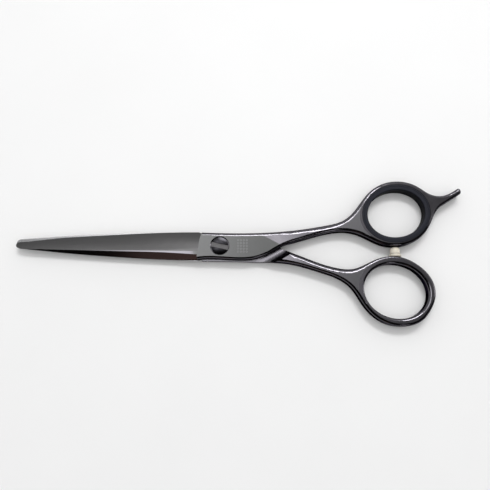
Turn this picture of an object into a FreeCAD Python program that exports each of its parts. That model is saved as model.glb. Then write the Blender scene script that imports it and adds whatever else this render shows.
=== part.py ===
import FreeCAD, Part
import math
import os

# Hair cutting shears, 6.5 inch, lying closed on a flat surface.
# Frame: millimetres, +Z up.  The origin is on the pivot axis, at the resting plane under the ride.
# The blades point along -X and the finger rings lie towards +X.  The finger ring and its tang are
# on the +Y side, the thumb ring is on the -Y side.  The finger half is the upper half.
#
# Each half is drawn in its "own" frame: blade towards -X, handle bending towards +Y, outer face up,
# inner face on the ride plane.  The finger half stays so.  The thumb half is turned over about
# the X direction, through the ride plane, which puts it underneath with its ring towards -Y.

Vector = FreeCAD.Vector

# ---- driving dimensions -------------------------------------------------------------------------

ride_thickness = 2.5          # one half, where the two halves ride on each other
film_gap = 0.02               # from the ride plane to each half's inner face
full_thickness = 2 * ride_thickness
ride_plane = ride_thickness
inner_face = ride_plane + film_gap

ride_rounds = (1.35, 0.85)    # rounds on the long edges, at the ride: outer and inner side
finger_shank_rounds = (1.85, 1.2)  # the same, at the middle of the finger shank
thumb_shank_rounds = (0.85, 1.95)  # the same, at the middle of the thumb shank
ring_round = 1.05             # round on the outer edges of the rings
tang_round = 0.85             # round on the edges of the finger rest
hole_round = 0.9              # round on the rims of the thumb ring's hole
heel_corner_x = -8.9          # where the spine bevel stops against the ride
heel_y = -5.4                 # the ride's side there
facet_heel_x = -7.1           # where the cutting facet stops at the edge side
ridge_heel_x = -8.4           # where the cutting facet stops at the ridge
ridge_heel_y = -1.0
bevel_heel_y = -3.9

blade_root = (-8.3, -5.4)     # the blade's solid runs this far into the ride, at the spine
blade_root_edge = (-6.75, 5.0)  # the same, towards the cutting edge
blade_tip_x = -80.8
finger_blade_turn = -0.35     # set of the finger half's blade about the pivot, degrees
thumb_blade_turn = 0.0
edge_land = 0.10              # height of the honed land on the cutting edge
bevel_slope = math.tan(math.radians(41))
facet_bulge = 0.033           # convex facet: how far it stands out from a flat one, per unit of width
hollow_start_x = -12.0        # hollow grind of the inner face
hollow_end_x = -79.0
hollow_depth = 0.22

ring_hole_long = 12.5         # half axes of the ring holes in the steel
ring_hole_short = 10.6
thumb_hole_centre = (68.6, 17.0)
thumb_hole_tilt = 12.0
finger_hole_centre = (70.0, 14.0)
finger_hole_tilt = 15.0
rebate_width = 1.25           # seat of the insert's two flanges
rebate_depth = 0.55
insert_wall = 0.95
insert_fit = 0.02
insert_flange_round = 0.35    # on the flanges' outer edges
insert_rim_round = 0.45       # on the rims of the insert's own hole

neck_point = (19.3, 2.7)      # a point where the inner face meets the neck scoop
neck_angle = -31.0            # run of the scoop across the half

screw_head_r = 3.45           # pivot screw with a coin slot
screw_head_height = 0.85
screw_head_drop = 0.02        # middle of the domed head lies this far under the ride's top face
screw_head_rise = 0.42        # height of the dome
screw_shoulder_r = 2.0
screw_thread_r = 1.7
thread_pitch = 0.35
thread_depth = 0.18
coin_slot_width = 1.9
coin_slot_depth = 0.62
coin_slot_angle = -12.0
running_gap = 0.05            # radial running clearance in the pivot
head_recess_r = 3.62
head_recess_floor = 3.6
countersink = 0.18

glide_washer_height = 0.25
spring_thickness = 0.12
spring_wave = 0.05
spring_waves = 3
washer_outer_r = 3.4
washer_inner_r = 2.1

race_recess_r = 4.25          # thrust bearing between the halves
race_outer_r = 4.15
race_inner_r = 2.2
race_height = 0.3
ball_r = 0.39
ball_circle_r = 3.15
ball_count = 8
ball_gap = 0.01
cage_height = 0.4
cage_pocket_r = 0.45

nut_flange_r = 3.4            # blind nut pressed into the thumb half from below
nut_flange_height = 0.55
nut_body_r = 2.7
nut_cap_height = 0.45         # closed end of the nut, flush with the resting plane
lock_ring_r = 2.3
lock_ring_floor = 0.9
lock_ring_height = 0.4
spanner_hole_r = 0.4          # two holes in the nut's lower face
spanner_hole_depth = 0.3
spanner_hole_x = 2.55

bumper_x = 69.3
bumper_seat_y = 3.36          # outside of the thumb ring there, in the thumb half's own frame
bumper_r = 1.95
collar_r = 2.3
bumper_height = 4.05
groove_depth = 0.18           # groove round the bumper, above its collar
collar_height = 0.95
dome_start = 2.6
stud_r = 0.8
stud_depth = 1.5              # into the ring
stud_reach = 2.2              # into the bumper
stud_thread_pitch = 0.5
stud_thread_depth = 0.12

# ---- small helpers --------------------------------------------------------------------------------


def spline(points, breaks=()):
    """A smooth plan curve through the points, as one edge or as edges that meet at the break points."""
    curve = Part.BSplineCurve()
    curve.interpolate([Vector(x, y, 0) for x, y in points])
    stops = [curve.FirstParameter, curve.LastParameter]
    for x, y in breaks:
        if (x, y) in points:
            stops.append(curve.parameter(Vector(x, y, 0)))
    stops.sort()
    return [curve.toShape(a, b) for a, b in zip(stops, stops[1:])]


def line(start, end, z=0.0):
    return Part.makeLine(Vector(start[0], start[1], z), Vector(end[0], end[1], z))


def arc(start, middle, end, z=0.0):
    points = [Vector(x, y, z) for x, y in (start, middle, end)]
    return Part.Arc(*points).toShape()


def prism(edges, low, high):
    """Extrude a closed plan outline, drawn at height 0, from low to high."""
    face = Part.Face(Part.Wire(edges))
    face.translate(Vector(0, 0, low))
    return face.extrude(Vector(0, 0, high - low))


def ellipse_edge(centre, long_axis, short_axis, tilt, z=0.0):
    curve = Part.Ellipse(Vector(0, 0, 0), long_axis, short_axis)
    edge = curve.toShape()
    edge.rotate(Vector(0, 0, 0), Vector(0, 0, 1), tilt)
    edge.translate(Vector(centre[0], centre[1], z))
    return edge


def disc(radius, low, high):
    return Part.makeCylinder(radius, high - low, Vector(0, 0, low))


def washer(outer, inner, low, high):
    return disc(outer, low, high).cut(disc(inner, low - 1, high + 1))


def cone(low_radius, high_radius, low, high):
    return Part.makeCone(low_radius, high_radius, high - low, Vector(0, 0, low))


def edges_at(shape, heights):
    """The edges that lie flat at one of the given heights."""
    found = []
    for edge in shape.Edges:
        box = edge.BoundBox
        if any(abs(box.ZMin - z) < 1e-4 and abs(box.ZMax - z) < 1e-4 for z in heights):
            found.append(edge)
    return found


def turn_over(shape):
    """Move a shape from the thumb half's own frame to its place in the assembly."""
    placed = shape.copy()
    placed.rotate(Vector(0, 0, ride_plane), Vector(1, 0, 0), 180)
    return placed


# ---- the two halves -------------------------------------------------------------------------------


def heel_edges(outer_y):
    """The stepped end of the ride, from the inner edge's heel to the outer edge's heel."""
    corner = (heel_corner_x, heel_y)
    bevel_end = (heel_corner_x, bevel_heel_y)
    ridge_end = (ridge_heel_x, ridge_heel_y)
    outer = (facet_heel_x, outer_y)
    middle = (ridge_heel_x + 0.35, 0.5 * (ridge_heel_y + outer_y))
    return [line(corner, bevel_end), line(bevel_end, ridge_end), arc(ridge_end, middle, outer)]


finger_outer = [
    (facet_heel_x, 5.45), (3, 5.25), (13, 5.4), (23.6, 6.1), (33, 7.3), (42.8, 9.1), (49.1, 11.1),
    (54.2, 15.8), (59.4, 22.5), (65.3, 26.4), (72, 27.45), (79, 25.5), (84.2, 22.2), (88.5, 21.5),
    (92.4, 22.8), (95.4, 24.7),
]
finger_tang_end = (96.5, 23.8)
finger_inner = [
    (95.5, 22.1), (91.0, 19.15), (86.7, 15.9), (83.2, 9.4), (78.2, 3.6), (73.2, 1.3), (68.3, 0.75),
    (63.5, 1.55), (57.8, 4.2), (52.3, 6.2), (46.5, 6.4), (39.4, 5.0), (31.6, 2.7), (25, 0.45),
    (19.6, -2.5), (14.5, -4.6), (8, -5.3), (heel_corner_x, heel_y),
]
finger_breaks = [
    (23.6, 6.1), (33, 7.3), (49.1, 11.1), (59.4, 22.5), (84.2, 22.2), (92.4, 22.8), (83.2, 9.4),
    (57.8, 4.2), (46.5, 6.4), (31.6, 2.7), (19.6, -2.5),
]

thumb_outline = [
    (facet_heel_x, 5.75), (3, 5.8), (14, 5.95), (23, 6.1), (31.5, 7.3), (39.4, 9.6), (46.4, 12.1),
    (51.5, 15.8), (56.0, 22.6), (60.5, 27.4), (65.7, 29.95), (71.5, 30.5), (77.3, 28.7),
    (81.6, 24.0), (83.75, 17.9), (82.5, 12.2), (78.0, 7.1), (72.6, 4.2), (67.5, 3.4), (62.8, 4.15),
    (57.5, 6.5), (52.3, 8.45), (46.8, 8.25), (40, 6.55), (32.3, 3.7), (25.4, 0.9), (19.6, -2.5),
    (14.5, -4.6), (8, -5.3), (heel_corner_x, heel_y),
]
thumb_breaks = [
    (23, 6.1), (31.5, 7.3), (46.4, 12.1), (56.0, 22.6), (71.5, 30.5), (83.75, 17.9), (57.5, 6.5),
    (46.8, 8.25), (32.3, 3.7), (19.6, -2.5),
]

# From the root along the spine, round the blunt tip and back along the cutting edge.
blade_outline = [
    blade_root, (-20, -5.6), (-36, -5.1), (-52, -4.25), (-66, -3.25), (-78.2, -2.25), (-80.1, -1.8),
    (blade_tip_x, -0.75), (-80.4, 0.25), (-78.9, 0.6), (-68, 1.9), (-53, 3.3), (-38, 4.4),
    (-23, 5.3), (-8.5, 5.75),
]

# Cross-sections of the blade's outer side: x, y of the bevel's crest, y of the facet's crest,
# height of the crest over the ride plane, y of the cutting edge.
blade_sections = [
    (-6.5, -3.75, -0.8, ride_thickness, 5.75),
    (-9.0, -3.65, -1.1, ride_thickness, 5.7),
    (-20.0, -3.1, -1.9, 2.38, 5.5),
    (-34.0, -2.85, -2.25, 2.10, 4.65),
    (-50.0, -2.66, -2.35, 1.70, 3.55),
    (-66.0, -2.47, -2.39, 1.26, 2.1),
    (-82.0, -2.30, -2.24, 0.85, 0.1),
]


def blade_section(x, bevel_crest, facet_crest, height, edge_y):
    """One closed cross-section of the space under the blade's bevel, crest and facet."""
    low, far_spine, far_edge = -3.0, -9.0, 8.0
    top = ride_plane + height
    edge_z = inner_face + edge_land
    width = edge_y - facet_crest
    slope = (top - edge_z) / width
    spine_z = top - bevel_slope * (bevel_crest - far_spine)
    middle = Vector(x, facet_crest + 0.5 * width, 0.5 * (top + edge_z) + facet_bulge * width)
    corners = [(far_spine, low), (far_spine, spine_z), (bevel_crest, top), (facet_crest, top)]
    points = [Vector(x, y, z) for y, z in corners]
    edges = [Part.makeLine(a, b) for a, b in zip(points, points[1:])]
    edge = Vector(x, edge_y, edge_z)
    edges.append(Part.Arc(points[-1], middle, edge).toShape())
    beyond = Vector(x, far_edge, edge_z - slope * (far_edge - edge_y))
    rest = [edge, beyond, Vector(x, far_edge, low), points[0]]
    edges += [Part.makeLine(a, b) for a, b in zip(rest, rest[1:])]
    return Part.Wire(edges)


def hollow_segment(x, centre_y, half_width, depth):
    """A shallow circular segment on the inner face, closed just below it."""
    below = inner_face - 0.2
    a, b = (centre_y - half_width, inner_face), (centre_y + half_width, inner_face)
    edges = [
        Part.makeLine(Vector(x, a[0], below), Vector(x, *a)),
        Part.Arc(Vector(x, *a), Vector(x, centre_y, inner_face + depth), Vector(x, *b)).toShape(),
        Part.makeLine(Vector(x, *b), Vector(x, b[0], below)),
        Part.makeLine(Vector(x, b[0], below), Vector(x, a[0], below)),
    ]
    return Part.Wire(edges)


def blade(turn):
    """The blade in the own frame: bevel, crest, convex facet, hollow inner face, rounded tip."""
    outline = spline(blade_outline)
    outline.append(line(blade_outline[-1], blade_root_edge))
    outline.append(line(blade_root_edge, blade_root))
    body = prism(outline, inner_face, full_thickness)
    roof = Part.makeLoft([blade_section(*row) for row in blade_sections], True, False)
    body = body.common(roof)
    hollow = Part.makeLoft([
        hollow_segment(hollow_start_x, 0.0, 4.4, hollow_depth),
        hollow_segment(hollow_end_x, -0.95, 0.8, 0.25 * hollow_depth),
    ], True, True)
    body = body.cut(hollow)
    body.rotate(Vector(0, 0, 0), Vector(0, 0, 1), turn)
    return body


# Across the neck scoop: how far from its start, and how high over the inner face.
scoop_profile = [(0.0, 0.0), (1.3, 0.14), (2.5, 0.48), (3.6, 1.15), (4.7, inner_face)]


def neck_cutter():
    """Everything under the inner face, up to the scoop that rises through the neck."""
    far = 120.0
    low = -1.0
    curve = Part.BSplineCurve()
    curve.interpolate([Vector(0, across, inner_face - rise) for across, rise in scoop_profile])
    start, end = curve.StartPoint, curve.EndPoint
    corners = [end, Vector(0, end.y, low), Vector(0, -far, low), Vector(0, -far, inner_face), start]
    edges = [curve.toShape()] + [Part.makeLine(a, b) for a, b in zip(corners, corners[1:])]
    cutter = Part.Face(Part.Wire(edges)).extrude(Vector(2 * far, 0, 0))
    cutter.translate(Vector(-far, 0, 0))
    cutter.rotate(Vector(0, 0, 0), Vector(0, 0, 1), neck_angle)
    cutter.translate(Vector(neck_point[0], neck_point[1], 0))
    return cutter


def round_at(x, ride_round, shank_round):
    """Radius of the long edges' round at a place along X."""
    stations = [(18, ride_round), (32, shank_round), (47, shank_round), (58, ring_round), (82, ring_round),
                (90, tang_round)]
    if x <= stations[0][0]:
        return stations[0][1]
    for (x0, r0), (x1, r1) in zip(stations, stations[1:]):
        if x <= x1:
            return r0 + (r1 - r0) * (x - x0) / (x1 - x0)
    return stations[-1][1]


def round_long_edges(body, shank_rounds):
    """Round the upper and lower long edges of a handle with a radius that changes along it."""
    document = FreeCAD.newDocument("rounding")
    base = document.addObject("Part::Feature", "base")
    base.Shape = body
    rows = []
    for number, edge in enumerate(body.Edges, 1):
        box = edge.BoundBox
        flat = any(abs(box.ZMin - z) < 1e-4 and abs(box.ZMax - z) < 1e-4 for z in (0.0, full_thickness))
        if flat and box.XMax > 0:
            middle = edge.valueAt(0.5 * (edge.FirstParameter + edge.LastParameter))
            outside = not body.isInside(Vector(middle.x, middle.y + 0.4, 0.5 * full_thickness), 1e-3, True)
            side = 0 if outside else 1
            ends = [edge.valueAt(edge.FirstParameter).x, edge.valueAt(edge.LastParameter).x]
            radii = [round_at(x, ride_rounds[side], shank_rounds[side]) for x in ends]
            rows.append((number, *radii))
    fillet = document.addObject("Part::Fillet", "fillet")
    fillet.Base = base
    fillet.Edges = rows
    document.recompute()
    shape = fillet.Shape.copy()
    FreeCAD.closeDocument(document.Name)
    return shape


def handle(outline, hole_centre, hole_tilt, shank_rounds, rim_round):
    """Ride, neck, shank and ring as one piece, with rounded edges, in the own frame."""
    body = prism(outline, 0.0, full_thickness)
    body = round_long_edges(body, shank_rounds)
    rim = ellipse_edge(hole_centre, ring_hole_long, ring_hole_short, hole_tilt)
    hole = prism([rim], -1, full_thickness + 1)
    body = body.cut(hole)
    if rim_round:
        rims = [e for e in edges_at(body, (0.0, full_thickness)) if e.Closed]
        body = body.makeFillet(rim_round, rims)
    return body.cut(neck_cutter())


def race_recess():
    return disc(race_recess_r, inner_face - 1, ride_plane + ball_r + ball_gap + race_height)


def finger_half():
    outline = spline(finger_outer, finger_breaks)
    outline.append(arc(finger_outer[-1], finger_tang_end, finger_inner[0]))
    outline += spline(finger_inner, finger_breaks) + heel_edges(finger_outer[0][1])
    body = handle(outline, finger_hole_centre, finger_hole_tilt, finger_shank_rounds, 0)
    for low in (-1.0, full_thickness - rebate_depth):
        seat = [ellipse_edge(finger_hole_centre, ring_hole_long + rebate_width,
                             ring_hole_short + rebate_width, finger_hole_tilt)]
        body = body.cut(prism(seat, low, low + 1 + rebate_depth))
    body = body.fuse(blade(finger_blade_turn)).removeSplitter()
    body = body.cut(race_recess())
    body = body.cut(disc(screw_shoulder_r + running_gap, -1, full_thickness + 1))
    body = body.cut(disc(head_recess_r, head_recess_floor, full_thickness + 1))
    rim_floor = full_thickness - countersink
    return body.cut(cone(head_recess_r, head_recess_r + countersink + 1, rim_floor, full_thickness + 1))


def thumb_half():
    outline = spline(thumb_outline, thumb_breaks) + heel_edges(thumb_outline[0][1])
    body = handle(outline, thumb_hole_centre, thumb_hole_tilt, thumb_shank_rounds, hole_round)
    body = body.fuse(blade(thumb_blade_turn)).removeSplitter()
    body = body.cut(race_recess())
    body = body.cut(disc(nut_body_r, -1, full_thickness + 1))
    body = body.cut(disc(nut_flange_r, full_thickness - nut_flange_height, full_thickness + 1))
    bottom = Vector(bumper_x, bumper_seat_y + stud_depth, ride_plane)
    hole = Part.makeCylinder(stud_r, 20, bottom, Vector(0, -1, 0))
    return turn_over(body.cut(hole))


# ---- finger ring insert and bumper ----------------------------------------------------------------


def finger_ring_insert():
    """Soft plastic liner with a flange on each face of the finger ring."""
    def at(grow, low, high):
        half_axes = (ring_hole_long + grow, ring_hole_short + grow)
        return prism([ellipse_edge(finger_hole_centre, *half_axes, finger_hole_tilt)], low, high)

    body = at(-insert_fit, 0.0, full_thickness)
    for low in (0.0, full_thickness - rebate_depth + insert_fit):
        body = body.fuse(at(rebate_width - insert_fit, low, low + rebate_depth - insert_fit))
    body = body.removeSplitter()
    body = body.makeFillet(insert_flange_round, edges_at(body, (0.0, full_thickness)))
    body = body.cut(at(-insert_wall, -1, full_thickness + 1))
    rims = [e for e in edges_at(body, (0.0, full_thickness)) if e.BoundBox.XLength < 2 * ring_hole_long]
    return body.makeFillet(insert_rim_round, rims)


def turned(profile, start, direction):
    """Revolve (radius, distance) points about the line from start along direction."""
    points = [Vector(r, 0, t) for r, t in profile]
    wire = Part.makePolygon(points + [points[0]])
    body = Part.Face(wire).revolve(Vector(0, 0, 0), Vector(0, 0, 1), 360)
    turn = FreeCAD.Rotation(Vector(0, 0, 1), Vector(*direction))
    body.Placement = FreeCAD.Placement(Vector(*start), turn).multiply(body.Placement)
    return body


def bumper_cap():
    """Domed silencer with a grooved waist and a base collar, standing on the thumb ring."""
    waist_r = bumper_r - groove_depth
    profile = [(0, 0), (collar_r, 0), (collar_r, collar_height), (waist_r, collar_height + 0.12),
               (waist_r, collar_height + 0.3), (bumper_r, collar_height + 0.42), (bumper_r, dome_start)]
    rise = bumper_height - dome_start
    for step in range(1, 7):
        turn = math.radians(15 * step)
        profile.append((bumper_r * math.cos(turn) if step < 6 else 0, dome_start + rise * math.sin(turn)))
    foot = (bumper_x, -bumper_seat_y, ride_plane)
    body = turned(profile, foot, (0, 1, 0))
    socket = Part.makeCylinder(stud_r, stud_reach, Vector(*foot), Vector(0, 1, 0))
    return body.cut(socket)


def bumper_stud():
    """Threaded stud that joins the cap to the ring."""
    length = stud_depth + stud_reach
    profile = [(0, 0)]
    profile += thread_profile(stud_r, 0.05, length - 0.05, stud_thread_pitch, stud_thread_depth)
    profile += [(0, length)]
    return turned(profile, (bumper_x, -bumper_seat_y - stud_depth, ride_plane), (0, 1, 0))


def thread_profile(radius, start, end, pitch, depth):
    """Crests and roots of a thread drawn as rings, as (radius, distance) points from start to end."""
    turns = int((end - start) / pitch)
    step = (end - start) / turns
    points = [(radius - depth, start - 0.05)]
    for k in range(turns):
        base = start + k * step
        points.append((radius - depth, base))
        points.append((radius, base + 0.35 * step))
        points.append((radius, base + 0.65 * step))
    points.append((radius - depth, end))
    points.append((radius - depth, end + 0.05))
    return points


# ---- pivot ----------------------------------------------------------------------------------------


head_top = full_thickness - screw_head_drop
head_under = head_top - screw_head_height
thread_top = ride_plane - 0.35
thread_end = nut_cap_height + 0.1


def pivot_screw():
    """Pivot screw: low domed head with a coin slot, ground shoulder and fine thread."""
    profile = [(0, thread_end)]
    profile += thread_profile(screw_thread_r - running_gap, thread_end + 0.05, thread_top - 0.05,
                              thread_pitch, thread_depth)
    profile += [(screw_shoulder_r, thread_top), (screw_shoulder_r, head_under), (screw_head_r, head_under),
                (screw_head_r, head_top), (0, head_top)]
    body = turned(profile, (0, 0, 0), (0, 0, 1))
    dome_r = (screw_head_r ** 2 + screw_head_rise ** 2) / (2 * screw_head_rise)
    body = body.common(Part.makeSphere(dome_r, Vector(0, 0, head_top - dome_r)))
    slot = Part.makeBox(10, coin_slot_width, 2, Vector(-5, -coin_slot_width / 2, head_top - coin_slot_depth))
    slot.rotate(Vector(0, 0, 0), Vector(0, 0, 1), coin_slot_angle)
    return body.cut(slot)


def glide_washer():
    return washer(washer_outer_r, washer_inner_r, head_recess_floor, head_recess_floor + glide_washer_height)


def tension_spring():
    """Wave washer between the glide washer and the screw head."""
    low = head_recess_floor + glide_washer_height
    middle = 0.5 * (low + head_under)
    sides = []
    for k in range(12 * spring_waves):
        turn = 2 * math.pi * k / (12 * spring_waves)
        height = middle + spring_wave * math.sin(spring_waves * turn)
        along = Vector(math.cos(turn), math.sin(turn), 0)
        inner = along * (washer_inner_r + 0.1) + Vector(0, 0, height - spring_thickness / 2)
        outer = along * (washer_outer_r - 0.1) + Vector(0, 0, height - spring_thickness / 2)
        up = Vector(0, 0, spring_thickness)
        sides.append(Part.makePolygon([inner, outer, outer + up, inner + up, inner]))
    sides.append(sides[0])
    return Part.makeLoft(sides, True, True)


def race(low):
    return washer(race_outer_r, race_inner_r, low, low + race_height)


lower_race_floor = ride_plane - ball_r - ball_gap - race_height


def ball_cage():
    low = ride_plane - cage_height / 2
    body = washer(race_outer_r - 0.1, race_inner_r + 0.1, low, low + cage_height)
    for k in range(ball_count):
        pocket = disc(cage_pocket_r, 0, full_thickness)
        pocket.translate(ball_centre(k))
        body = body.cut(pocket)
    return body


def ball_centre(k):
    turn = 2 * math.pi * (k + 0.5) / ball_count
    return Vector(ball_circle_r * math.cos(turn), ball_circle_r * math.sin(turn), 0)


def bearing_ball(k):
    return Part.makeSphere(ball_r, ball_centre(k) + Vector(0, 0, ride_plane))


def pivot_nut():
    """Flanged blind nut pressed into the thumb half, with two spanner holes and a seat for the lock ring."""
    body = disc(nut_body_r, 0, lower_race_floor).fuse(disc(nut_flange_r, 0, nut_flange_height))
    body = body.removeSplitter()
    body = body.cut(disc(screw_thread_r, nut_cap_height, full_thickness))
    body = body.cut(disc(lock_ring_r, lock_ring_floor, lock_ring_floor + lock_ring_height))
    for side in (-1, 1):
        place = Vector(spanner_hole_x * side, 0, 0)
        body = body.cut(Part.makeCylinder(spanner_hole_r, spanner_hole_depth, place))
    return body


def thread_lock_ring():
    """Nylon ring held in the nut's groove, which keeps the screw where it is set."""
    return washer(lock_ring_r, screw_thread_r, lock_ring_floor, lock_ring_floor + lock_ring_height)


# ---- write the parts ------------------------------------------------------------------------------


def parts():
    made = {
        "finger_half": finger_half(),
        "thumb_half": thumb_half(),
        "finger_ring_insert": finger_ring_insert(),
        "bumper_cap": bumper_cap(),
        "bumper_stud": bumper_stud(),
        "pivot_screw": pivot_screw(),
        "glide_washer": glide_washer(),
        "tension_spring": tension_spring(),
        "upper_race": race(ride_plane + ball_r + ball_gap),
        "lower_race": race(lower_race_floor),
        "ball_cage": ball_cage(),
        "pivot_nut": pivot_nut(),
        "thread_lock_ring": thread_lock_ring(),
    }
    for k in range(ball_count):
        made["bearing_ball_%d" % (k + 1)] = bearing_ball(k)
    return made


os.makedirs("parts", exist_ok=True)
for name, shape in parts().items():
    solids = shape.Solids
    print("%-20s solids %d valid %s volume %9.3f" % (name, len(solids), shape.isValid(), shape.Volume))
    solid = solids[0] if len(solids) == 1 else shape
    solid.exportStep("parts/%s.step" % name)
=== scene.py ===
import math

import bmesh
import bpy
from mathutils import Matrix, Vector


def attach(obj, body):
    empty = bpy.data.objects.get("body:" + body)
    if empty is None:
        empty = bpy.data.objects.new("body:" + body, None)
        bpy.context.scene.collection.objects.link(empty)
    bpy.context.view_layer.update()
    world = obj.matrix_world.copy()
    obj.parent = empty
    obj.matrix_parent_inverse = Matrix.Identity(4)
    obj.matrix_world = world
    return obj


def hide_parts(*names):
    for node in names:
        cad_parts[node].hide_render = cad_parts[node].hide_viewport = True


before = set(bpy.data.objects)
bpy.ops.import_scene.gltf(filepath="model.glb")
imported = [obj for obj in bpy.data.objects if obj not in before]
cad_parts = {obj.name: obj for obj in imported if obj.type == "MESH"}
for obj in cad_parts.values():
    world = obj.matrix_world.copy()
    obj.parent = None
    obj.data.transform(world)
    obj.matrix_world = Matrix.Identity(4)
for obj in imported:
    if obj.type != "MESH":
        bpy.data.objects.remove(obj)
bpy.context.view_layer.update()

MM = 0.001
full_thickness = 5.0                     # both halves together, at the ride
ride_plane = 0.5 * full_thickness
slot_floor = 4.36                        # height of the coin slot's floor

# The holes in the steel rings, each in its half's own frame, in mm.
hole_centre = (70.0, 14.0)
hole_half_axes = (12.5, 10.6)
hole_mean_radius = 11.5
hole_tilt = math.radians(15.0)
thumb_hole_centre = (68.6, 17.0)
thumb_hole_tilt = math.radians(12.0)

# Bumper: where its foot stands on the thumb ring, and its section, in mm. It points along +Y.
bumper_foot = (69.3, -3.36, ride_plane)
bumper_r = 1.95
collar_r = 2.3
collar_height = 0.95
groove_depth = 0.18
dome_start = 2.6
bumper_height = 4.05


# ---------------------------------------------------------------- material nodes

class Net:
    """The nodes of one material or world, made by short calls that return sockets."""

    def __init__(self, owner, output="ShaderNodeOutputMaterial"):
        self.owner = owner
        owner.use_nodes = True
        self.tree = owner.node_tree
        self.tree.nodes.clear()
        self.out = self.tree.nodes.new(output)

    def put(self, socket, value):
        if isinstance(value, bpy.types.NodeSocket):
            self.tree.links.new(value, socket)
        elif isinstance(value, tuple) and len(value) == 3 and socket.type == "RGBA":
            socket.default_value = (*value, 1.0)
        else:
            socket.default_value = value

    def node(self, kind, inputs, **settings):
        made = self.tree.nodes.new(kind)
        for key, value in settings.items():
            setattr(made, key, value)
        for key, value in inputs.items():
            self.put(made.inputs[key], value)
        return made

    def math(self, operation, a, b=0.0, c=0.0):
        return self.node("ShaderNodeMath", {0: a, 1: b, 2: c}, operation=operation).outputs[0]

    def add(self, a, b):
        return self.math("ADD", a, b)

    def sub(self, a, b):
        return self.math("SUBTRACT", a, b)

    def mul(self, a, b):
        return self.math("MULTIPLY", a, b)

    def step(self, value, start, end):
        """0 before start, 1 after end, smooth between them. end may lie below start."""
        inputs = {"Value": value, "From Min": start, "From Max": end, "To Min": 0.0, "To Max": 1.0}
        return self.node("ShaderNodeMapRange", inputs, interpolation_type="SMOOTHSTEP").outputs[0]

    def ramp(self, value, stops, scale):
        """A number read from (value, level) stops, straight between them; scale is the largest level."""
        low, high = stops[0][0], stops[-1][0]
        made = self.node("ShaderNodeValToRGB", {0: self.spread(value, low, high, 0.0, 1.0)})
        elements = made.color_ramp.elements
        while len(elements) < len(stops):
            elements.new(0.5)
        for element, (place, level) in zip(elements, stops):
            element.position = (place - low) / (high - low)
            element.color = (*(3 * (level / scale,)), 1.0)
        return self.mul(made.outputs[0], scale)

    def spread(self, value, start, end, low, high):
        inputs = {"Value": value, "From Min": start, "From Max": end, "To Min": low, "To Max": high}
        return self.node("ShaderNodeMapRange", inputs).outputs[0]

    def mix(self, share, a, b):
        """Numbers or colours, b by the given share."""
        if isinstance(a, tuple) or isinstance(b, tuple) or getattr(a, "type", "") == "RGBA":
            made = self.node("ShaderNodeMix", {0: share, 6: a, 7: b}, data_type="RGBA")
            return made.outputs[2]
        return self.node("ShaderNodeMix", {0: share, 2: a, 3: b}, data_type="FLOAT").outputs[0]

    def vector(self, x, y, z):
        return self.node("ShaderNodeCombineXYZ", {0: x, 1: y, 2: z}).outputs[0]

    def parts(self, vector):
        return self.node("ShaderNodeSeparateXYZ", {0: vector}).outputs[:]

    def grey(self, level):
        return self.node("ShaderNodeCombineColor", {0: level, 1: level, 2: level}).outputs[0]

    def length(self, vector):
        return self.node("ShaderNodeVectorMath", {0: vector}, operation="LENGTH").outputs["Value"]

    def place(self, turned=False):
        """Position in mm and normal, three numbers each. turned: in the thumb half's own frame."""
        texture = self.node("ShaderNodeTexCoord", {})
        inputs = {0: texture.outputs["Object"], 3: 1 / MM}
        in_mm = self.node("ShaderNodeVectorMath", inputs, operation="SCALE")
        x, y, z = self.parts(in_mm.outputs[0])
        nx, ny, nz = self.parts(texture.outputs["Normal"])
        if turned:
            y, ny, nz = self.mul(y, -1.0), self.mul(ny, -1.0), self.mul(nz, -1.0)
            z = self.sub(full_thickness, z)
        return (x, y, z), (nx, ny, nz)

    def noise(self, vector, scale, detail=3.0, rough=0.5):
        inputs = {"Vector": vector, "Scale": scale, "Detail": detail, "Roughness": rough}
        return self.node("ShaderNodeTexNoise", inputs).outputs[0]

    def bump(self, height, strength, distance):
        inputs = {"Height": height, "Strength": strength, "Distance": distance}
        return self.node("ShaderNodeBump", inputs).outputs[0]

    def finish(self, **inputs):
        named = {key.replace("_", " "): value for key, value in inputs.items()}
        shader = self.node("ShaderNodeBsdfPrincipled", named)
        self.tree.links.new(shader.outputs[0], self.out.inputs[0])
        return self.owner


def surface(name):
    """The nodes of a new material."""
    return Net(bpy.data.materials.new(name))


def scaled(colour, share):
    return tuple(share * c for c in colour)


# ---------------------------------------------------------------- materials

polished_black = (0.100, 0.096, 0.106)
satin_grey = (0.098, 0.099, 0.100)
satin_painted_fade = (0.074, 0.075, 0.075)        # painted reflection: the same satin, darker towards the shank
web_grey = (0.086, 0.085, 0.090)
facet_grey = (0.078, 0.077, 0.078)
bevel_black = (0.095, 0.090, 0.090)
etched_grey = (0.15, 0.15, 0.152)
ground_grey = (0.23, 0.23, 0.235)
edge_tint = (0.13, 0.125, 0.14)          # how bright the coat is when seen almost edge on


def ornament(net, x, y):
    """1 on the lines of a small etched lattice of diamonds, 0 elsewhere."""
    pitch = 1.15
    left, right, low, high = 6.6, 11.2, -2.875, 2.875
    u = net.math("ABSOLUTE", net.sub(net.math("FRACT", net.mul(net.sub(x, left), 1 / pitch)), 0.5))
    v = net.math("ABSOLUTE", net.sub(net.math("FRACT", net.mul(net.sub(y, low), 1 / pitch)), 0.5))
    ring = net.math("ABSOLUTE", net.sub(net.add(u, v), 0.32))
    inside = net.mul(net.step(x, left, left + 0.02), net.step(x, right, right - 0.02))
    inside = net.mul(inside, net.mul(net.step(y, low, low + 0.02), net.step(y, high, high - 0.02)))
    return net.mul(net.step(ring, 0.12, 0.06), inside)


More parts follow.
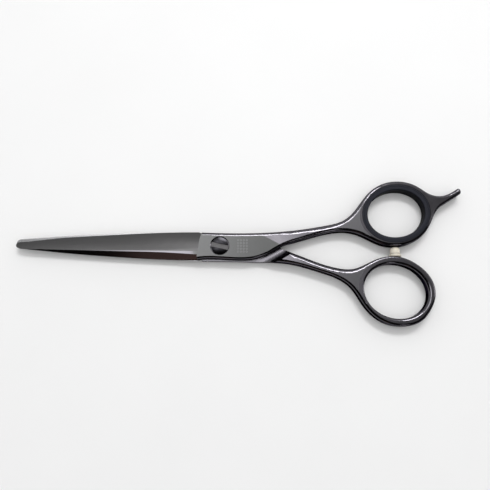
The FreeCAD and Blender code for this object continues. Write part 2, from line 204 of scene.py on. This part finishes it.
def ring_offset(net, x, y, turned):
    """Distance from the ring hole's edge in mm, near enough, in the half's own frame."""
    centre, tilt = (thumb_hole_centre, thumb_hole_tilt) if turned else (hole_centre, hole_tilt)
    u, v = net.sub(x, centre[0]), net.sub(y, centre[1])
    along = net.add(net.mul(u, math.cos(tilt)), net.mul(v, math.sin(tilt)))
    aside = net.sub(net.mul(v, math.cos(tilt)), net.mul(u, math.sin(tilt)))
    long_axis, short_axis = hole_half_axes
    reach = net.length(net.vector(net.mul(along, 1 / long_axis), net.mul(aside, 1 / short_axis), 0.0))
    return net.mul(net.sub(reach, 1.0), hole_mean_radius)


def black_steel(name, turned, etched):
    """Coated steel of one half: satin flats, ground facets, polished roundings, bright inner face."""
    net = surface(name)
    (x, y, z), (_, ny, nz) = net.place(turned)
    level = net.step(net.math("ABSOLUTE", nz), 0.975, 0.995)
    flat = net.mul(level, net.add(net.step(z, 4.6, 4.9), net.step(z, 0.4, 0.1)))
    inner = net.mul(net.step(nz, -0.6, -0.9), net.mul(net.step(z, 1.9, 2.3), net.step(z, 3.2, 2.9)))
    blade = net.mul(net.step(x, -6.6, -6.9), net.step(z, 4.99, 4.97))
    bevel = net.mul(net.step(ny, -0.15, -0.3), net.step(x, -8.3, -8.6))
    facet = net.mul(net.mul(blade, net.step(ny, 0.06, 0.12)), net.step(nz, 0.2, 0.5))

    # The facet's satin runs on over the half of the flat crest that lies beside it.
    crest_satin = net.mul(net.step(x, -8.3, -8.8), net.step(nz, 0.9, 0.97))
    crest_satin = net.mul(crest_satin, net.step(y, -2.45, -2.15))
    facet = net.math("MAXIMUM", facet, crest_satin)

    # The satin of the ride ends on a slanting line, where the polished shank begins.
    across = net.add(net.mul(x, 0.47), net.mul(y, 0.88))
    ride = net.mul(flat, net.mul(net.step(across, 11.95, 11.6), net.step(x, 23.6, 23.2)))
    ride = net.mul(ride, net.mul(net.step(x, -12.0, -9.0), net.step(z, 4.0, 4.5)))

    # The web between shank and ring, outside the ring's own band.
    web = net.mul(net.step(x, 68.0, 64.0), net.step(ring_offset(net, x, y, turned), 1.9, 2.3))
    web = net.mul(net.mul(net.step(x, 44.0, 52.0), web), flat)

    fine = net.noise(net.vector(x, y, z), 9.0, 4.0, 0.6)
    cloud = net.noise(net.vector(x, y, z), 0.35, 3.0, 0.55)
    across_grind = net.noise(net.vector(net.mul(x, 1.1), net.mul(y, 0.06), net.mul(z, 0.06)), 1.0, 3.0, 0.5)
    along_grind = net.noise(net.vector(net.mul(x, 0.18), net.mul(y, 6.0), net.mul(z, 6.0)), 1.0, 4.0, 0.65)

    colour = net.mix(cloud, polished_black, scaled(polished_black, 1.18))
    # Painted reflection: the ride's satin darkens from the blade end towards the shank, standing in for a
    # reflection that fades along the ride.
    satin = net.mix(net.step(x, -8.0, 18.0), satin_grey, satin_painted_fade)
    satin = net.mix(net.mul(fine, 0.2), satin, (0.05, 0.05, 0.05))
    colour = net.mix(ride, colour, satin)
    colour = net.mix(web, colour, web_grey)
    colour = net.mix(facet, colour, net.mix(across_grind, scaled(facet_grey, 0.98), facet_grey))
    colour = net.mix(bevel, colour, bevel_black)
    ground = net.mul(inner, net.step(x, -8.0, -9.0))
    colour = net.mix(ground, colour, net.mix(along_grind, scaled(ground_grey, 0.8), ground_grey))

    rough = net.spread(cloud, 0.3, 0.7, 0.10, 0.16)
    rough = net.mix(ride, rough, net.spread(fine, 0.3, 0.7, 0.30, 0.38))
    rough = net.mix(web, rough, net.spread(fine, 0.3, 0.7, 0.34, 0.44))
    rough = net.mix(facet, rough, net.spread(across_grind, 0.3, 0.7, 0.29, 0.31))
    rough = net.mix(bevel, rough, 0.14)
    rough = net.mix(inner, rough, net.spread(along_grind, 0.3, 0.7, 0.18, 0.3))

    grain = net.mul(net.mul(fine, net.add(ride, web)), 0.0016)
    grind = net.add(net.mul(net.mul(fine, facet), 0.0004), net.mul(net.mul(along_grind, inner), 0.004))
    height = net.add(grain, grind)
    if etched:
        mark = net.mul(ornament(net, x, y), ride)
        colour = net.mix(mark, colour, etched_grey)
        rough = net.mix(mark, rough, 0.42)
        height = net.sub(height, net.mul(mark, 0.012))
    normal = net.bump(height, 1.0, MM)
    return net.finish(Base_Color=colour, Metallic=1.0, Roughness=rough, Normal=normal,
                      Specular_Tint=edge_tint)


def turned_metal(name, colour, rough, scratch):
    """Metal with fine rings about the pivot axis, as a lathe leaves it."""
    net = surface(name)
    (x, y, z), _ = net.place()
    radius = net.length(net.vector(x, y, 0.0))
    rings = net.noise(net.vector(net.mul(radius, 9.0), net.mul(z, 3.0), 0.0), 1.0, 3.0, 0.6)
    cloud = net.noise(net.vector(x, y, z), 1.1, 3.0)
    tone = net.mix(cloud, scaled(colour, 0.8), colour)
    gloss = net.spread(net.add(net.mul(rings, 0.6), net.mul(cloud, 0.4)), 0.3, 0.7, rough, rough + 0.12)
    normal = net.bump(rings, scratch, 0.01 * MM)
    return net.finish(Base_Color=tone, Metallic=1.0, Roughness=gloss, Normal=normal)


def screw_metal():
    """Black polished screw; the floor of its coin slot is worn bright."""
    net = surface("screw_black")
    (x, y, z), (_, _, nz) = net.place()
    radius = net.length(net.vector(x, y, 0.0))
    rings = net.noise(net.vector(net.mul(radius, 8.0), 0.0, z), 1.0, 3.0, 0.6)
    wear = net.noise(net.vector(x, y, z), 2.2, 4.0, 0.6)
    near_floor = net.mul(net.step(z, slot_floor + 0.08, slot_floor + 0.04),
                         net.step(z, slot_floor - 0.06, slot_floor - 0.02))
    floor = net.mul(near_floor, net.step(nz, 0.7, 0.95))
    colour = net.mix(wear, (0.016, 0.016, 0.018), (0.032, 0.031, 0.035))
    colour = net.mix(floor, colour, net.mix(wear, (0.028, 0.027, 0.028), (0.088, 0.086, 0.088)))
    rough = net.mix(floor, net.spread(wear, 0.3, 0.7, 0.14, 0.26), 0.3)
    height = net.add(net.mul(rings, 0.003), net.mul(net.mul(wear, floor), 0.03))
    return net.finish(Base_Color=colour, Metallic=1.0, Roughness=rough, Normal=net.bump(height, 1.0, MM))


def moulded(name, dark, light, rough, grain, subsurface=0.0, specular=0.5, shade=None, shaded_specular=None):
    """Moulded plastic with a fine grain; shade(net, position, normal) tells where shade is painted, which
    makes it darker there, and duller if shaded_specular is given.
    """
    net = surface(name)
    position, facing = net.place()
    spot = net.vector(*position)
    cloud = net.noise(spot, 0.8, 4.0, 0.6)
    fine = net.noise(spot, 14.0, 3.0, 0.6)
    colour = net.mix(net.add(net.mul(cloud, 0.7), net.mul(fine, 0.3)), dark, light)
    if shade:
        share = shade(net, position, facing)
        # Painted shade: where shade() says, the colour is darkened towards 0.3 of the dark tone.
        colour = net.mix(share, colour, scaled(dark, 0.3))
        if shaded_specular is not None:
            specular = net.mix(share, specular, shaded_specular)
    gloss = net.spread(fine, 0.3, 0.7, rough - 0.05, rough + 0.08)
    normal = net.bump(fine, 1.0, grain * MM)
    inputs = {"Base_Color": colour, "Roughness": gloss, "Normal": normal, "Specular_IOR_Level": specular}
    if subsurface:
        inputs["Subsurface_Weight"] = subsurface
        inputs["Subsurface_Scale"] = 0.8 * MM
        inputs["Subsurface_Radius"] = Vector((1.0, 0.85, 0.6))
    return net.finish(**inputs)


def insert_wall_painted_shade(net, position, normal):
    """1 on the wall inside the insert, where shade is painted, 0 on the flanges."""
    return net.step(net.math("ABSOLUTE", normal[2]), 0.75, 0.35)


def bumper_painted_shade(net, position, normal):
    """Painted shade: dark in the bumper's groove and darker towards its foot."""
    height = net.sub(position[1], bumper_foot[1])
    groove = net.mul(net.step(height, 0.90, 1.02), net.step(height, 1.42, 1.30))
    return net.add(net.mul(groove, 0.35), net.step(height, 1.0, -0.6))


def paint(material, *names):
    for name in names:
        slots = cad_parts[name].data.materials
        for index in range(len(slots)):
            slots[index] = material
        if not len(slots):
            slots.append(material)


balls = ["bearing_ball_%d" % n for n in range(1, 9)]
paint(black_steel("black_steel_finger", False, True), "finger_half")
paint(black_steel("black_steel_thumb", True, False), "thumb_half")
paint(screw_metal(), "pivot_screw")
paint(turned_metal("nut_black", (0.075, 0.074, 0.08), 0.24, 0.5), "pivot_nut")
paint(turned_metal("race_steel", (0.56, 0.56, 0.57), 0.12, 0.3), "upper_race", "lower_race")
paint(turned_metal("ball_steel", (0.62, 0.62, 0.63), 0.06, 0.05), *balls)
paint(turned_metal("cage_brass", (0.60, 0.43, 0.17), 0.28, 0.5), "ball_cage")
paint(turned_metal("spring_steel", (0.36, 0.35, 0.34), 0.3, 0.5), "tension_spring")
paint(turned_metal("stud_steel", (0.45, 0.44, 0.42), 0.25, 0.5), "bumper_stud")
paint(moulded("ptfe_white", (0.76, 0.76, 0.73), (0.86, 0.86, 0.83), 0.4, 0.004), "glide_washer")
paint(moulded("nylon_blue", (0.03, 0.09, 0.38), (0.05, 0.13, 0.48), 0.42, 0.004), "thread_lock_ring")
# The insert's inner wall is painted darker, as shade.
insert_black = moulded("insert_black", (0.011, 0.012, 0.018), (0.020, 0.021, 0.030), 0.5, 0.012,
                       specular=0.13, shade=insert_wall_painted_shade, shaded_specular=0.04)
# The bumper's groove and foot are painted darker, as shade.
bumper_ivory = moulded("bumper_ivory", (0.60, 0.55, 0.45), (0.76, 0.72, 0.63), 0.38, 0.010,
                       subsurface=0.25, shade=bumper_painted_shade)


# ---------------------------------------------------------------- refined pieces

def quarter(centre, radius, start, steps=6):
    """Points of a quarter circle in a section, from the angle start on, anticlockwise."""
    points = []
    for n in range(steps + 1):
        a = math.radians(start + 90.0 * n / steps)
        points.append((centre[0] + radius * math.cos(a), centre[1] + radius * math.sin(a)))
    return points


def mesh_piece(name, rows, material, body, node):
    """A closed band of rings: rows is a list of closed rings of points in mm, itself closed."""
    count, size = len(rows), len(rows[0])
    points = [tuple(MM * c for c in p) for row in rows for p in row]
    faces = []
    for i in range(count):
        for j in range(size):
            k, m = (i + 1) % count, (j + 1) % size
            faces.append((i * size + j, i * size + m, k * size + m, k * size + j))
    mesh = bpy.data.meshes.new(name)
    mesh.from_pydata(points, [], faces)
    mesh.validate()
    piece = bpy.data.objects.new(name, mesh)
    bpy.context.scene.collection.objects.link(piece)
    return finish_piece(piece, material, body, node)


def finish_piece(piece, material, body, node):
    mesh = piece.data
    mesh.materials.append(material)
    mesh.shade_smooth()
    mesh.set_sharp_from_angle(angle=math.radians(40))
    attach(piece, body)
    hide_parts(node)
    return piece


def insert_section():
    """Section of the finger insert, as (outward offset from the ring hole, height) points."""
    bore, outer, fit = -0.95, 1.23, -0.02
    flange = 0.53
    rim_round, flange_round = 0.45, 0.35
    top = full_thickness
    lower = [(bore + 0.06, 0.5 * top), (bore + 0.03, 1.7), (bore, 0.9)]
    lower += quarter((bore + rim_round, rim_round), rim_round, 180.0)
    lower += [(0.30, 0.0), (0.38, 0.10), (0.50, 0.10), (0.58, 0.0)]
    lower += quarter((outer - flange_round, flange_round), flange_round, 270.0)
    lower += [(outer, flange), (fit, flange)]
    upper = [(o, top - h) for o, h in reversed(lower[1:])]
    return lower + upper


def finger_insert():
    """The insert's section carried round the ring hole's ellipse."""
    section = insert_section()
    turns = 192
    rows = []
    for n in range(turns):
        a = 2 * math.pi * n / turns
        row = []
        for offset, height in section:
            u = (hole_half_axes[0] + offset) * math.cos(a)
            v = (hole_half_axes[1] + offset) * math.sin(a)
            px = hole_centre[0] + u * math.cos(hole_tilt) - v * math.sin(hole_tilt)
            py = hole_centre[1] + u * math.sin(hole_tilt) + v * math.cos(hole_tilt)
            row.append((px, py, height))
        rows.append(row)
    return mesh_piece("finger_insert_moulded", rows, insert_black,
                      "finger_side", "finger_ring_insert")


def bumper_section():
    """Section of the bumper, as (radius, distance from its foot) points."""
    r, c = bumper_r, collar_r
    groove_r = r - groove_depth
    points = [(0.0, 0.0), (0.85, 0.0), (c - 0.12, 0.0), (c - 0.03, 0.04), (c, 0.14), (c, 0.78)]
    points += [(c - 0.04, 0.88), (c - 0.14, collar_height), (r - 0.12, 1.02)]
    points += [(groove_r, 1.10), (groove_r, 1.20), (r - 0.15, 1.28)]
    points += [(r - 0.04, 1.37), (r, 1.48), (r, 2.0), (r, 2.55)]
    rise = bumper_height - dome_start
    for n in range(1, 12):
        a = math.radians(7.6 * n)
        points.append((r * math.cos(a), dome_start + rise * math.sin(a)))
    points += [(0.16, bumper_height - 0.015), (0.10, bumper_height - 0.06), (0.0, bumper_height - 0.07)]
    return points


def bumper():
    """The bumper's section turned about a line along +Y, with the rings on that line merged to points."""
    section = bumper_section()
    turns = 72
    points, faces = [], []
    for radius, distance in section:
        for n in range(turns):
            a = 2 * math.pi * n / turns
            x = bumper_foot[0] + radius * math.cos(a)
            z = bumper_foot[2] + radius * math.sin(a)
            points.append((x * MM, (bumper_foot[1] + distance) * MM, z * MM))
    for i in range(len(section) - 1):
        for j in range(turns):
            m = (j + 1) % turns
            faces.append((i * turns + j, (i + 1) * turns + j, (i + 1) * turns + m, i * turns + m))
    mesh = bpy.data.meshes.new("bumper_moulded")
    mesh.from_pydata(points, [], faces)
    work = bmesh.new()
    work.from_mesh(mesh)
    bmesh.ops.remove_doubles(work, verts=work.verts, dist=1e-7)
    bmesh.ops.recalc_face_normals(work, faces=work.faces)
    work.to_mesh(mesh)
    work.free()
    piece = bpy.data.objects.new("bumper_moulded", mesh)
    bpy.context.scene.collection.objects.link(piece)
    return finish_piece(piece, bumper_ivory, "thumb_side", "bumper_cap")


finger_insert()
bumper()


# ---------------------------------------------------------------- floor, light and camera

def paper_floor():
    size = 1.6
    level = -0.02 * MM                   # just clear of the underside, so that no two faces coincide
    corners = [(-size, -size, level), (size, -size, level), (size, size, level), (-size, size, level)]
    mesh = bpy.data.meshes.new("floor")
    mesh.from_pydata(corners, [], [(0, 1, 2, 3)])
    floor = bpy.data.objects.new("floor", mesh)
    bpy.context.scene.collection.objects.link(floor)
    net = surface("pale_card")
    position, _ = net.place()
    spot = net.vector(*position)
    cloud = net.noise(spot, 0.02, 3.0, 0.5)
    fibre = net.noise(spot, 2.5, 4.0, 0.6)
    colour = net.mix(cloud, (0.84, 0.84, 0.84), (0.88, 0.88, 0.88))
    normal = net.bump(fibre, 0.25, 0.02 * MM)
    mesh.materials.append(net.finish(Base_Color=colour, Roughness=0.6, Normal=normal))


def soft_box(name, place, size, radiance):
    """Rectangular light at a place in metres, aimed at the object."""
    light = bpy.data.lights.new(name, "AREA")
    light.shape = "RECTANGLE"
    light.size, light.size_y = size
    light.energy = math.pi * radiance * size[0] * size[1]
    lamp = bpy.data.objects.new(name, light)
    bpy.context.scene.collection.objects.link(lamp)
    lamp.location = place
    lamp.rotation_euler = Vector(place).to_track_quat("Z", "Y").to_euler()


def patch(net, texture, towards, inner, outer):
    """1 within the inner angle of a direction, 0 beyond the outer one, in degrees."""
    aim = tuple(Vector(towards).normalized())
    inputs = {0: texture.outputs["Generated"], 1: aim}
    near = net.node("ShaderNodeVectorMath", inputs, operation="DOT_PRODUCT")
    return net.step(near.outputs["Value"], math.cos(math.radians(outer)), math.cos(math.radians(inner)))


# Brightness of the panels overhead, along the direction's X.
panels = [
    (-0.50, 0.8), (-0.34, 1.2), (-0.27, 5.2), (-0.14, 5.2), (-0.06, 2.4), (0.02, 1.4), (0.042, 4.8),
    (0.065, 4.8), (0.085, 2.4), (0.13, 1.4), (0.20, 1.0), (0.27, 0.42), (0.50, 0.25),
]
wall_level = 0.80
window_level = 6.0
dark_side = (0.010, 0.009, 0.010)
brown_band = (0.42, 0.27, 0.25)
lamp_colour = (3.0, 2.9, 3.0)
backdrop = (0.85, 0.85, 0.85)


def sky():
    """A pale room. Glossy rays see a row of bright panels overhead, a bright window beyond the rings, and
    darkness on the -Y side with a brown band and one small lamp in it. Other rays see plain greys."""
    world = bpy.data.worlds.new("room")
    bpy.context.scene.world = world
    net = Net(world, "ShaderNodeOutputWorld")
    texture = net.node("ShaderNodeTexCoord", {})
    x, y, z = net.parts(texture.outputs["Generated"])
    side = net.step(y, -0.08, 0.06)
    strip = net.ramp(x, panels, max(level for _, level in panels))
    overhead = net.mul(net.step(z, 0.76, 0.86), net.step(y, 0.54, 0.40))
    bright = net.mix(overhead, wall_level, strip)
    bright = net.mix(patch(net, texture, (0.97, 0.10, 0.20), 6.0, 12.0), bright, window_level)
    low = net.mul(net.mul(net.step(x, -0.30, -0.22), net.step(x, -0.03, -0.08)),
                  net.mul(net.step(z, 0.50, 0.42), net.step(z, 0.16, 0.26)))
    dark = net.mix(low, dark_side, brown_band)
    dark = net.mix(patch(net, texture, (0.34, -0.79, 0.52), 4.0, 7.0), dark, lamp_colour)
    reflected = net.mix(side, dark, net.grey(bright))
    path = net.node("ShaderNodeLightPath", {})
    fill = net.spread(y, -0.6, 0.6, 0.56, 1.02)
    colour = net.mix(path.outputs["Is Glossy Ray"], net.grey(fill), reflected)
    colour = net.mix(path.outputs["Is Camera Ray"], colour, backdrop)
    background = net.node("ShaderNodeBackground", {"Color": colour, "Strength": 1.0})
    net.tree.links.new(background.outputs[0], net.out.inputs[0])


def camera():
    """Almost overhead, looking a little from the thumb ring's side. Its target and distance are in mm."""
    data = bpy.data.cameras.new("camera")
    data.sensor_width = 36.0
    data.sensor_height = 36.0
    data.sensor_fit = "HORIZONTAL"
    data.lens = 37.102
    data.clip_start = 0.01
    view = bpy.data.objects.new("camera", data)
    bpy.context.scene.collection.objects.link(view)
    elevation, turn, distance = math.radians(78.0), 0.0114, 200.6
    target = Vector((9.92, 0.87, ride_plane))
    level = math.cos(elevation)
    back = Vector((math.sin(turn) * level, -math.cos(turn) * level, math.sin(elevation)))
    view.location = (target + back * distance) * MM
    view.rotation_euler = back.to_track_quat("Z", "Y").to_euler()
    bpy.context.scene.camera = view


paper_floor()
sky()
soft_box("key_window", place=(0.126, 0.514, 0.728), size=(0.40, 0.15), radiance=15.2)
camera()
bpy.context.scene.view_settings.view_transform = "Standard"
